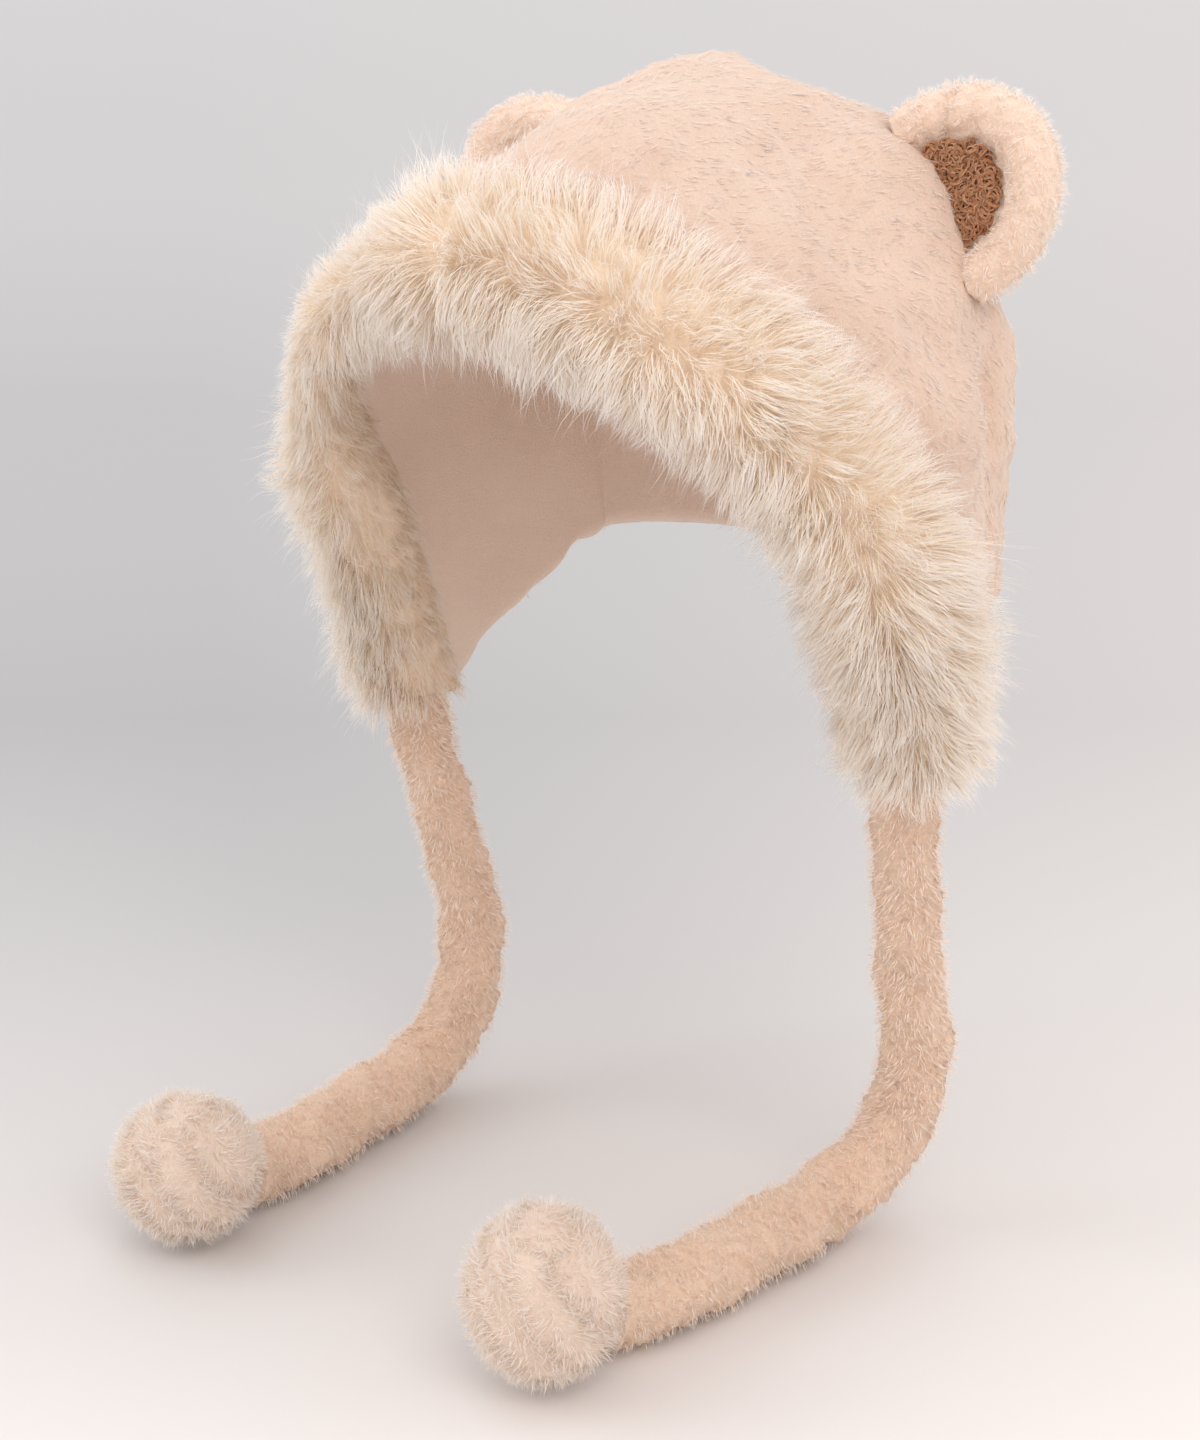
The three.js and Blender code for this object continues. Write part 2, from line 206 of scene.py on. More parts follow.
clothFinish = {
    "roughness": 0.95,
    "sheen": 0.35,
    "sheenRoughness": 0.5,
    "sheenTint": paint(255, 238, 222),
    "gloss": 0.08,
    "glow": 0.35,
    "glowDepth": 0.0012,
}
hairFinish = {
    "roughness": 0.8,
    "sheen": 0.0,
    "sheenRoughness": 0.4,
    "sheenTint": paint(255, 240, 226),
    "gloss": 0.1,
    "glow": 0.7,
    "glowDepth": 0.0005,
}


clothPattern = {
    "mottle": 22,
    "mottleShare": 0.7,
    "napShare": 0.6,
    "contrast": 1.5,
    "shift": 0.45,
    "mottleHeight": 0.4,
    "pitReach": 0.0015,
}
# paintedShadeFade: the share of the painted shade that is gone at the tip
hairPattern = {"middle": 0.45, "shadeReach": 0.5, "paintedShadeFade": 0.7}


def clothMaterial(name, light, dark, nap, pits):
    # brushed cloth: mottled in two tones, with a fine nap as bump
    made, wire, shader = newMaterial(name)
    place = wire.node("ShaderNodeTexCoord", {}, {}, 3)
    mottle = wire.noise(place, clothPattern["mottle"], 3)
    fine = wire.noise(place, nap, 4)
    tones = mottle * clothPattern["mottleShare"] + fine * clothPattern["napShare"]
    share = tones * clothPattern["contrast"] - clothPattern["shift"]
    connect(shader, "Base Color", wire.mix(share, dark, light))
    height = fine + mottle * clothPattern["mottleHeight"]
    connect(shader, "Normal", wire.bump(height, pits, clothPattern["pitReach"]))
    setFinish(shader, clothFinish)
    return made


def hairMaterial(name, root, middle, tip, shadeColour=None):
    # tone holds each point's share of the way to the tip, the hair's own shade and how much
    # painted shade darkens it towards the shade colour, or towards the root's colour where there
    # is none
    made, wire, shader = newMaterial(name)
    tone = wire.node("ShaderNodeAttribute", {"attribute_name": "tone"}, {}, 0)
    way = wire.node("ShaderNodeSeparateColor", {}, {0: tone}, 0)
    shade = wire.node("ShaderNodeSeparateColor", {}, {0: tone}, 1)
    depth = wire.node("ShaderNodeSeparateColor", {}, {0: tone}, 2)
    stops = [(0.0, root), (hairPattern["middle"], middle), (1.0, tip)]
    reach = hairPattern["shadeReach"]
    at = way + (shade * reach - reach / 2)
    colour = wire.node("ShaderNodeValToRGB", {"stops": stops}, {0: at})
    # painted shade: where the tone's third channel is high, the colour turns to the shade colour
    connect(shader, "Base Color", wire.mix(depth, colour, shadeColour or root))
    setFinish(shader, hairFinish)
    return made


# Meshes from arrays


def buildMesh(name, points, triangles, material, tones=None, smooth=True):
    mesh = bpy.data.meshes.new(name)
    mesh.vertices.add(len(points))
    mesh.vertices.foreach_set("co", np.ascontiguousarray(points, np.float32).ravel())
    mesh.loops.add(3 * len(triangles))
    mesh.loops.foreach_set("vertex_index", np.ascontiguousarray(triangles, np.int32).ravel())
    mesh.polygons.add(len(triangles))
    mesh.polygons.foreach_set("loop_start", np.arange(0, 3 * len(triangles), 3, dtype=np.int32))
    mesh.update(calc_edges=True)
    mesh.polygons.foreach_set("use_smooth", np.full(len(triangles), smooth))
    if tones is not None:
        layer = mesh.attributes.new("tone", "FLOAT_COLOR", "POINT")
        layer.data.foreach_set("color", np.ascontiguousarray(tones, np.float32).ravel())
    mesh.materials.append(material)
    made = bpy.data.objects.new(name, mesh)
    bpy.context.scene.collection.objects.link(made)
    return made


def buildHairs(name, lines, widths, outward, shades, paintedShades, material, flat=0.35, sides=3):
    # each line of points becomes one closed hair, pointed at both ends
    count, steps = lines.shape[:2]
    way = unit(np.gradient(lines, axis=1))
    across = unit(np.cross(way, outward[:, None]))
    lift = np.cross(across, way)
    turns = 2 * np.pi * np.arange(sides) / sides
    inner = slice(1, -1)
    half = widths[:, inner, None, None] / 2
    rings = lines[:, inner, None] + half * (
        np.cos(turns)[:, None] * across[:, inner, None]
        + flat * np.sin(turns)[:, None] * lift[:, inner, None]
    )
    last = (steps - 3) * sides
    root, tip = last + sides, last + sides + 1
    points = np.concatenate([rings.reshape(count, -1, 3), lines[:, :1], lines[:, -1:]], axis=1)
    corners = []
    for side in range(sides):
        follow = (side + 1) % sides
        corners += [(root, side, follow), (last + side, tip, last + follow)]
        for start in range(0, last, sides):
            a, b = start + side, start + follow
            corners += [(a, a + sides, b + sides), (a, b + sides, b)]
    each = tip + 1
    triangles = (np.array(corners)[None] + each * np.arange(count)[:, None, None]).reshape(-1, 3)
    share = np.append(np.repeat(np.linspace(0, 1, steps)[inner], sides), [0, 1])
    tones = np.ones((count, each, 4))
    tones[..., 0] = share
    tones[..., 1] = shades[:, None]
    # painted shade, strongest at the root and fading towards the tip
    tones[..., 2] = paintedShades[:, None] * (1 - share * hairPattern["paintedShadeFade"])
    return buildMesh(
        name, points.reshape(-1, 3), triangles, material, tones.reshape(-1, 4), smooth=False
    )


def closeRings(rings, firstEnd, lastEnd):
    # rings of points in a row, shut by a point at each end: their points and triangles
    count, sides = rings.shape[:2]
    points = np.vstack([rings.reshape(-1, 3), firstEnd, lastEnd])
    corners = []
    for row in range(count - 1):
        for side in range(sides):
            a, b = row * sides + side, row * sides + (side + 1) % sides
            corners += [(a, b, b + sides), (a, b + sides, a + sides)]
    first, last = count * sides, count * sides + 1
    lastRing = first - sides
    for side in range(sides):
        follow = (side + 1) % sides
        corners += [(first, follow, side), (last, lastRing + side, lastRing + follow)]
    return points, np.array(corners)


def pick(piece):
    bpy.ops.object.select_all(action="DESELECT")
    bpy.context.view_layer.objects.active = piece
    piece.select_set(True)


def openMesh(piece):
    # into edit mode, with the whole mesh selected
    pick(piece)
    bpy.ops.object.mode_set(mode="EDIT")
    bpy.ops.mesh.select_all(action="SELECT")


def closeMesh():
    bpy.ops.object.mode_set(mode="OBJECT")
    bpy.ops.object.shade_smooth()


def matt(piece, scale, strength, shares=None):
    # the surface is pressed into soft tufts by a cloud texture, less where the shares are small
    cloud = bpy.data.textures.new(piece.name + "_tufts", "CLOUDS")
    cloud.noise_scale = scale
    cloud.noise_depth = 2
    push = piece.modifiers.new("tufts", "DISPLACE")
    push.texture = cloud
    push.texture_coords = "LOCAL"
    push.strength = strength
    push.mid_level = 0.5
    if shares is not None:
        group = piece.vertex_groups.new(name="tufts")
        for spot, share in enumerate(shares.tolist()):
            group.add([spot], share, "REPLACE")
        push.vertex_group = "tufts"
    pick(piece)
    bpy.ops.object.modifier_apply(modifier="tufts")
    piece.select_set(False)


def taper(count, steps, width, middle=1.0):
    # widths along a hair: full at the root, thinning to the tip
    share = np.linspace(0, 1, steps)
    shape = (1 - share**2.2) * (1 + (middle - 1) * np.sin(np.pi * share))
    return np.asarray(width)[:, None] * shape[None] * np.ones((count, 1))


def bendLines(roots, first, last, lengths, steps, droop=0.0, wobble=0.0):
    # a hair leaves its root along first and turns to last; droop pulls it down on the way
    share = (np.arange(steps - 1) + 0.5) / (steps - 1)
    ways = first[:, None] * (1 - share[None, :, None]) + last[:, None] * share[None, :, None]
    ways[..., 2] -= np.asarray(droop)[..., None] * share[None]
    if wobble:
        ways += dice.normal(0, wobble, ways.shape)
    ways = unit(ways) * (lengths / (steps - 1))[:, None, None]
    return np.concatenate([roots[:, None], roots[:, None] + np.cumsum(ways, axis=1)], axis=1)


def gather(lines, roots, lockLines, lockRoots, grip, power=1.4):
    # each hair leans over to the nearest lock's line, more towards its tip
    tree = KDTree(len(lockRoots))
    for k, root in enumerate(lockRoots):
        tree.insert(root, k)
    tree.balance()
    near = np.array([tree.find(root)[1] for root in roots])
    share = np.linspace(0, 1, lines.shape[1])[None, :, None] ** power
    return lines + (lockLines[near] - lines) * share * grip[:, None, None], near


def gatherInLocks(lines, roots, perLock, grip):
    # one hair in perLock leads a lock; a grip of two numbers differs from hair to hair
    count = len(roots)
    leads = dice.choice(count, count // perLock, replace=False)
    grips = np.full(count, grip) if np.isscalar(grip) else dice.uniform(*grip, count)
    return gather(lines, roots, lines[leads], roots[leads], grips)


# Ties: the free cords, with the routes of the solids

hairClearance = 0.0006  # hairs that would touch the floor stay this far above it
tie = {
    "diameter": 0.026,
    "topRadius": 0.0098,
    "lyingRadius": 0.0118,
    "rings": 190,
    "sides": 40,
    "lump": 0.0006,
    "tuftScale": 0.0028,
    "tufts": 0.0046,
    "clearance": 0.001,
    "hairs": 7500,
    "hairLength": 0.0046,
    "hairSpread": (0.7, 1.25),
    "hairWidths": (0.0003, 0.0006),
    "rootDepth": 0.0006,
    "ends": (0.02, 0.985),
    "perLock": 6,
    "grip": 0.4,
}
tieSides = {
    "left": {
        "route": [
            (0.101, -0.002, -0.188), (0.101, 0, -0.212), (0.099, 0.006, -0.237),
            (0.096, 0.013, -0.262), (0.094, 0.021, -0.286), (0.092, 0.026, -0.307),
            (0.088, 0.024, -0.326), (0.083, 0.012, -0.341), (0.078, -0.006, -0.349),
            (0.076, -0.03, -0.35), (0.074, -0.058, -0.35), (0.07, -0.086, -0.35),
            (0.066, -0.108, -0.347),
        ],
        "pompom": (0.063, -0.131, -0.332),
        "stretch": 1.16,
    },
    "right": {
        "route": [
            (-0.1, -0.002, -0.2), (-0.1, 0.003, -0.224), (-0.098, 0.009, -0.248),
            (-0.095, 0.015, -0.274), (-0.093, 0.019, -0.298), (-0.092, 0.018, -0.318),
            (-0.093, 0.009, -0.335), (-0.094, -0.007, -0.347), (-0.093, -0.03, -0.35),
            (-0.09, -0.055, -0.35), (-0.087, -0.082, -0.35), (-0.086, -0.108, -0.348),
        ],
        "pompom": (-0.085, -0.132, -0.336),
        "stretch": 1.0,
    },
}

plushPink = clothMaterial("plushPink", paint(246, 217, 194), paint(212, 179, 154), 900, 0.9)
tieHair = hairMaterial(
    "tieHair", paint(218, 184, 160), paint(246, 217, 196), paint(254, 234, 218)
)
pompomHair = hairMaterial(
    "pompomHair", paint(233, 214, 198), paint(236, 219, 204), paint(239, 223, 211)
)
pompomCloth = clothMaterial("pompomCloth", paint(231, 212, 196), paint(224, 201, 185), 900, 0.5)


def tubeFrames(path):
    way = unit(np.gradient(path, axis=0))
    across = unit(np.cross(way, [1.0, 0.35, 0]))
    return way, across, np.cross(way, across)


def makeTie(word):
    facts = tieSides[word]
    rings = tie["rings"]
    path, length = alongRoute(facts["route"], rings)
    way, across, lift = tubeFrames(path)
    share = np.linspace(0, 1, rings)
    growth = tie["lyingRadius"] - tie["topRadius"]
    radius = tie["topRadius"] + growth * smoothStep(share, 0.15, 0.6)
    turns = 2 * np.pi * np.arange(tie["sides"]) / tie["sides"]

    def surface(share, turn):
        lump = np.sin(share * 61 + 2 * turn) + np.sin(share * 37 - 3 * turn + 1)
        return np.interp(share, np.linspace(0, 1, len(radius)), radius) + tie["lump"] * lump

    ring = np.cos(turns)[:, None] * across[:, None] + np.sin(turns)[:, None] * lift[:, None]
    points = path[:, None] + ring * surface(share[:, None], turns[None])[..., None]
    points[..., 2] = np.maximum(points[..., 2], floorLevel + tie["clearance"])
    made = buildMesh("tie_tube_" + word, *closeRings(points, path[:1], path[-1:]), plushPink)
    matt(made, tie["tuftScale"], tie["tufts"])
    # pile: short hairs that lie down along the tie, matted in small locks
    count = tie["hairs"]
    at = dice.uniform(*tie["ends"], count) * (rings - 1)
    cell = np.minimum(at.astype(int), rings - 2)
    blend = (at - cell)[:, None]
    turn = dice.uniform(0, 2 * np.pi, count)
    mid = path[cell] * (1 - blend) + path[cell + 1] * blend
    outward = np.cos(turn)[:, None] * across[cell] + np.sin(turn)[:, None] * lift[cell]
    reach = surface(at / (rings - 1), turn)
    roots = mid + outward * (reach - tie["rootDepth"])[:, None]
    around = np.cross(way[cell], outward)
    lean = dice.normal(0, 0.5, (count, 1))
    first = unit(outward * 1.3 + way[cell] * 0.3 + around * lean)
    last = unit(outward * 0.8 + way[cell] * 0.5 + around * lean * 1.5)
    lengths = tie["hairLength"] * dice.uniform(*tie["hairSpread"], count)
    lines = bendLines(roots, first, last, lengths, 3, droop=0.2, wobble=0.15)
    lines, _ = gatherInLocks(lines, roots, tie["perLock"], tie["grip"])
    lines[..., 2] = np.maximum(lines[..., 2], floorLevel + hairClearance)
    widths = taper(count, 3, dice.uniform(*tie["hairWidths"], count))
    pile = buildHairs(
        "tie_pile_" + word, lines, widths, outward, dice.uniform(0, 1, count),
        np.zeros(count), tieHair,
    )
    return made, pile, path, length


pompom = {
    "core": 0.0226,
    "reach": 0.0268,
    "tuftScale": 0.004,
    "tufts": 0.0022,
    "hairs": 4800,
    "hairSpread": (0.9, 1.35),
    "hairWidths": (0.0003, 0.00055),
    "rootShare": 0.94,
    "perLock": 9,
    "grip": (0.1, 0.55),
}


def makePompom(word):
    facts = tieSides[word]
    middle = np.array(facts["pompom"])
    bpy.ops.mesh.primitive_ico_sphere_add(
        subdivisions=5,
        radius=pompom["core"],
        location=facts["pompom"],
        scale=(1, 1, facts["stretch"]),
    )
    core = bpy.context.object
    core.name = "pompom_core_" + word
    bpy.ops.object.transform_apply(location=True, rotation=True, scale=True)
    bpy.ops.object.shade_smooth()
    core.data.materials.append(pompomCloth)
    matt(core, pompom["tuftScale"], pompom["tufts"])
    # fluff: hairs from even places all round, swirled and matted in small locks
    count = pompom["hairs"]
    height = 1 - 2 * (np.arange(count) + 0.5) / count
    turn = np.pi * (3 - 5**0.5) * np.arange(count)
    level = np.sqrt(1 - height**2)
    outward = np.stack([np.cos(turn) * level, np.sin(turn) * level, height], axis=1)
    outward = unit(outward + dice.normal(0, 0.02, outward.shape))
    scale = np.array([1, 1, facts["stretch"]])
    rootRadius = pompom["core"] * pompom["rootShare"]
    roots = middle + outward * scale * pompom["core"] * pompom["rootShare"]
    swirl = unit(np.cross(outward, [0.3, -0.5, 1.0]))
    wave = np.sin(outward @ np.array([5.0, 3.0, 4.0]) * 1.6)[:, None]
    first = unit(outward + swirl * 0.5 * wave + dice.normal(0, 0.3, outward.shape))
    last = unit(outward * 0.4 + swirl * 0.8 * wave + dice.normal(0, 0.5, outward.shape))
    lengths = (pompom["reach"] - rootRadius) * dice.uniform(*pompom["hairSpread"], count)
    lines = bendLines(roots, first, last, lengths, 4, droop=0.12)
    lines, near = gatherInLocks(lines, roots, pompom["perLock"], pompom["grip"])
    lines[..., 2] = np.maximum(lines[..., 2], floorLevel + hairClearance)
    widths = taper(count, 4, dice.uniform(*pompom["hairWidths"], count), 1.1)
    lockShade = dice.uniform(0.2, 0.8, count // pompom["perLock"])[near]
    shades = lockShade + dice.uniform(-0.2, 0.2, count)
    fluff = buildHairs(
        "pompom_fluff_" + word, lines, widths, outward, shades, np.zeros(count), pompomHair
    )
    return core, fluff


for word in tieSides:
    tube, pile, path, length = makeTie(word)
    core, fluff = makePompom(word)
    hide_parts("tie_" + word)
    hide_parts("pompom_" + word)
    for piece in (tube, pile, core, fluff):
        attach(piece, "root")
print("ties and pompoms laid")


# The hood's form: rows from the face edge over the crown to the nape hem

hood = {
    "width": 0.212,
    "depth": 0.194,
    "height": 0.21,
    "wall": 0.0115,
    "columns": 150,
    "rows": 110,
    "sideShare": 0.62,
    "rightDrop": 0.012,
    "crownSlump": 0.012,
    "slumpU": (0, 0.1, 0.4, 0.8),
    "slumpV": (0, 0.3, 0.6, 0.95),
    "seam": 0.5,
    "groove": 0.0032,
    "grooveWidth": 0.009,
    "lumpScale": 0.026,
    "lumps": 0.0085,
    "tuftScale": 0.007,
    "tufts": 0.0024,
    "hairs": 18000,
    "hairLength": 0.0042,
    "hairSpread": (0.6, 1.3),
    "hairWidths": (0.0003, 0.0006),
    "rootDepth": 0.0004,
    "bareEdge": 0.03,
    "perLock": 7,
    "grip": (0.1, 0.5),
    "weld": 0.0001,
}
hoodRows = [
    # top (y, z), side (x, y, z), foot (x, y, z), squareness
    ((-0.43, -0.2), (0.93, -0.124, -0.6), (0.95, 0.03, -0.93), 1.95),
    ((-0.26, -0.03), (0.975, -0.02, -0.54), (0.97, 0.085, -0.925), 1.75),
    ((0.0, 0.04), (1, 0.11, -0.51), (0.98, 0.15, -0.895), 1.75),
    ((0.26, 0.035), (0.94, 0.26, -0.475), (0.92, 0.25, -0.85), 2.4),
    ((0.43, -0.105), (0.89, 0.335, -0.5), (0.87, 0.3, -0.83), 2.1),
    ((0.535, -0.38), (0.84, 0.385, -0.61), (0.84, 0.335, -0.815), 2.0),
    ((0.53, -0.75), (0.81, 0.4, -0.78), (0.81, 0.36, -0.8), 2.0),
]
hoodScale = np.array([hood["width"] / 2, hood["depth"], hood["height"]])
topRows = np.array([(0, *row[0]) for row in hoodRows]) * hoodScale
sideRows = np.array([row[1] for row in hoodRows]) * hoodScale
footRows = np.array([row[2] for row in hoodRows]) * hoodScale
squares = np.array([row[3] for row in hoodRows])


def plateau(x, bounds):
    rise, top, ease, end = bounds
    return smoothStep(x, rise, top) * (1 - smoothStep(x, ease, end))


def formPoint(u, v):
    # u runs from -1 at the right foot over the top to 1 at the left, v from the face to the nape
    u, v = np.broadcast_arrays(np.asarray(u, float), np.clip(np.asarray(v, float), 0, 1))
    share = np.abs(u)
    top, side, foot = (catmullRom(rows, v) for rows in (topRows, sideRows, footRows))
    square = np.interp(v * (len(squares) - 1), np.arange(len(squares)), squares)
    turn = np.clip(1 - share / hood["sideShare"], 0, 1) * np.pi / 2
    across = (np.clip(np.cos(turn), 0, 1) ** (2 / square))[..., None]
    up = (np.clip(np.sin(turn), 0, 1) ** (2 / square))[..., None]
    arch = side + (top - side) * up
    arch[..., 0] = side[..., 0] * across[..., 0]
    down = np.clip((share - hood["sideShare"]) / (1 - hood["sideShare"]), 0, 1)[..., None]
    point = np.where(down > 0, side + (foot - side) * down, arch)
    right = u < 0
    point[..., 0] = np.where(right, -point[..., 0], point[..., 0])
    drop = hood["rightDrop"] * smoothStep(share, 0.25, 1) * (1 - smoothStep(v, 0.1, 1))
    drop = drop + hood["crownSlump"] * plateau(share, hood["slumpU"]) * plateau(v, hood["slumpV"])
    point[..., 2] -= np.where(right, drop, 0)
    return point


def formFrame(u, v):
    # outward normal, the way back over the hood, and the way to the left foot
    step = 0.006
    along = formPoint(np.minimum(u + step, 1), v) - formPoint(np.maximum(u - step, -1), v)
    back = formPoint(u, np.minimum(v + step, 1)) - formPoint(u, np.maximum(v - step, 0))
    return unit(np.cross(along, back)), unit(back), unit(along)


hoodDents = [
    # side, u, v, depth, width along u, width along v: tucks, pinches and soft folds
    (1, 0.6, 0.46, 0.005, 0.05, 0.06),
    (-1, 0.6, 0.46, 0.005, 0.05, 0.06),
    (1, 0.08, 0.45, 0.003, 0.04, 0.05),
    (1, 0.1, 0.82, 0.0034, 0.2, 0.035),
    (-1, 0.1, 0.82, 0.0034, 0.2, 0.035),
    (1, 0.49, 0.44, 0.003, 0.03, 0.05),
    (1, 0.3, 0.3, 0.0022, 0.09, 0.05),
    (-1, 0.28, 0.33, 0.0022, 0.09, 0.05),
    (1, 0.44, 0.24, 0.0022, 0.04, 0.08),
    (1, 0.72, 0.4, 0.0026, 0.03, 0.09),
    (-1, 0.72, 0.4, 0.0026, 0.03, 0.09),
    (1, 0.05, 0.36, 0.0015, 0.06, 0.04),
]


softRelief = 0.0005


def reliefAt(u, v):
    seamDistance = (v - hood["seam"]) * hood["depth"]
    relief = -hood["groove"] * np.exp(-((seamDistance / hood["grooveWidth"]) ** 2))
    for side, du, dv, depth, wide, long in hoodDents:
        relief = relief - depth * np.exp(-(((u - side * du) / wide) ** 2) - ((v - dv) / long) ** 2)
    soft = np.sin(u * 23 + 3 * v) * np.sin(v * 17 + 2 * u) + 0.6 * np.sin(u * 41 - 9 * v)
    return relief + softRelief * soft


def softNormal(u, v):
    # the form's normal, averaged so that it turns gently at creases and hems
    total = 0
    for du, dv in ((0, 0), (0.06, 0), (-0.06, 0), (0, 0.03), (0, -0.03)):
        total = total + formFrame(np.clip(u + du, -1, 1), np.clip(v + dv, 0, 1))[0]
    return unit(total)


def hoodPoint(u, v, depth=0.0):
    normal = softNormal(u, v)
    relief = reliefAt(u, v) * (1 - np.asarray(depth) / hood["wall"])
    return formPoint(u, v) + normal * (relief - depth)[..., None]


hoodCloth = clothMaterial("hoodCloth", paint(231, 207, 190), paint(217, 189, 170), 1100, 0.4)
liningCloth = clothMaterial("liningCloth", paint(240, 219, 203), paint(224, 200, 183), 1500, 0.5)
hoodHair = hairMaterial(
    "hoodHair", paint(232, 207, 189), paint(237, 215, 197), paint(241, 225, 210)
)


def hemDistance(u, v):
    step = 0.004
    alongV = formPoint(u, np.minimum(v + step, 1)) - formPoint(u, np.maximum(v - step, 0))
    alongU = formPoint(np.minimum(u + step, 1), v) - formPoint(np.maximum(u - step, -1), v)
    lengthV = np.linalg.norm(alongV, axis=-1) / (2 * step)
    lengthU = np.linalg.norm(alongU, axis=-1) / (2 * step)
    return np.minimum(np.minimum(v, 1 - v) * lengthV, (1 - np.abs(u)) * lengthU)


def hoodSheet(name, side, material):
    # one grid laid over the form, as the plush or as the lining; both roll to the hem's middle
    bpy.ops.object.select_all(action="DESELECT")
    bpy.ops.mesh.primitive_grid_add(
        x_subdivisions=hood["columns"], y_subdivisions=hood["rows"], size=2
    )
    sheet = bpy.context.object
    sheet.name = name
    flat = np.empty(3 * len(sheet.data.vertices), np.float32)
    sheet.data.vertices.foreach_get("co", flat)
    flat = flat.reshape(-1, 3).astype(float)
    across, up = np.clip(-flat[:, 0], -1, 1), np.clip((flat[:, 1] + 1) / 2, 0, 1)
    u = across * (1.25 - 0.25 * across**2)
    v = up - 0.6 * np.sin(2 * np.pi * up) / (2 * np.pi)
    distance = hemDistance(u, v)
    half = hood["wall"] / 2
    roll = 1 - np.sqrt(1 - (1 - np.clip(distance / half, 0, 1)) ** 2)
    depth = half * roll if side == "plush" else hood["wall"] - half * roll
    sheet.data.vertices.foreach_set("co", hoodPoint(u, v, depth).astype(np.float32).ravel())
    sheet.data.update()
    crown = max(sheet.data.polygons, key=lambda face: face.center.z)
    if (crown.normal.z < 0) == (side == "plush"):
        sheet.data.flip_normals()
    sheet.data.materials.append(material)
    return sheet, smoothStep(distance, 0.001, 0.02), u, v


def makeHood():
    shell, shares, u, v = hoodSheet("hood_shell", "plush", hoodCloth)
    matt(shell, hood["lumpScale"], hood["lumps"], shares)
    matt(shell, hood["tuftScale"], hood["tufts"], shares)
    tufted = np.empty(3 * len(shell.data.vertices), np.float32)
    shell.data.vertices.foreach_get("co", tufted)
    surface = np.column_stack([tufted.reshape(-1, 3), u, v])
    surface = surface.reshape(hood["rows"] + 1, hood["columns"] + 1, 5)
    hoodSheet("hood_lining", "lining", liningCloth)
    shell.select_set(True)  # beside the lining, which is still selected
    bpy.context.view_layer.objects.active = shell
    bpy.ops.object.join()
    openMesh(shell)
    bpy.ops.mesh.remove_doubles(threshold=hood["weld"])
    closeMesh()
    return shell, surface


def makeHoodPile(name, side):
    # short smooth hairs that lie back and down over the plush
    count = hood["hairs"] // 2
    corner = hoodSurface[:-1, :-1]
    spanU, spanV = hoodSurface[:-1, 1:] - corner, hoodSurface[1:, :-1] - corner
    area = np.linalg.norm(np.cross(spanU[..., :3], spanV[..., :3]), axis=-1)
    area = area * (corner[..., 3] * side > 0) * (corner[..., 4] > hood["bareEdge"])
    cell = dice.choice(area.size, count, p=area.ravel() / area.sum())
    within = dice.uniform(0, 1, (2, count, 1))
    spot = corner.reshape(-1, 5)[cell] + within[0] * spanU.reshape(-1, 5)[cell]
    spot = spot + within[1] * spanV.reshape(-1, 5)[cell]
    roots, u, v = spot[:, :3], spot[:, 3], spot[:, 4]
    formNormal, back, along = formFrame(u, v)
    normal = unit(np.cross(spanU[..., :3], spanV[..., :3]).reshape(-1, 3)[cell])
    normal = normal * np.sign(np.sum(normal * formNormal, axis=1) + 1e-12)[:, None]
    down = along * np.sign(u)[:, None]
    roots = roots - normal * hood["rootDepth"]
    share = np.abs(u)
    flow = unit(back * (0.9 - 0.5 * share)[:, None] + down * (0.35 + 0.6 * share)[:, None])
    flow = unit(flow - normal * np.sum(flow * normal, axis=1)[:, None])
    drift = np.sin(u * 19 + v * 7)[:, None] * 0.3 * np.cross(normal, flow)
    first = unit(normal * 0.5 + flow + drift + dice.normal(0, 0.12, roots.shape))
    last = unit(normal * 0.1 + flow + drift + dice.normal(0, 0.12, roots.shape))
    lengths = hood["hairLength"] * dice.uniform(*hood["hairSpread"], count)
    lines = bendLines(roots, first, last, lengths, 3)
    lines, near = gatherInLocks(lines, roots, hood["perLock"], hood["grip"])
    widths = taper(count, 3, dice.uniform(*hood["hairWidths"], count))
    lockShade = dice.uniform(0.3, 0.8, count // hood["perLock"])[near]
    shades = np.clip(lockShade + dice.normal(0, 0.12, count), 0, 1)
    return buildHairs(name, lines, widths, normal, shades, np.zeros(count), hoodHair, 0.2)


hoodShell, hoodSurface = makeHood()
hoodPiles = [makeHoodPile("hood_pile_left", 1), makeHoodPile("hood_pile_right", -1)]
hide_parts("hood_front", "hood_back")
for piece in [hoodShell, *hoodPiles]:
    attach(piece, "root")
print("hood sewn")


# The fur trim: a body under long hairs that part along a ridge and gather in locks

trim = {
    "hairs": 24000,
    "ridgeShare": 0.3,
    "guardShare": 0.1,
    "locks": 2200,
    "bigLocks": 320,
    "steps": 5,
    "width": 0.00041,
    "sink": 0.85,
    "nearGrowth": 0.25,
    "footShrink": 0.3,
    "farShrink": 0.45,
    "innerCalm": 0.18,
    "lengthSpread": (0.75, 1.2),
    "widthSpread": (0.6, 1.3),
    "rootTurns": 10,
    "tipTurns": 14,
    "sway": 0.35,
    "hang": (0.1, 0.75),
    "droop": 0.3,
    "wobble": 0.09,
    "lockSpread": 0.35,
    "bigSpread": 0.55,
    "hairSpread": 0.2,
    "bigGrip": 0.4,
    "grip": (0.45, 0.9),
    "guardGrip": 0.1,
    "guardLength": 1.3,
    "guardWidth": 0.6,
    # painted shade: how dark the inner edge's hairs and the far flap's inner rows are painted
    "innerPaintedShade": 0.8,
    "farPaintedShade": 0.4,
    "columns": 150,
    "tuftScale": 0.007,
    "tufts": 0.005,
}
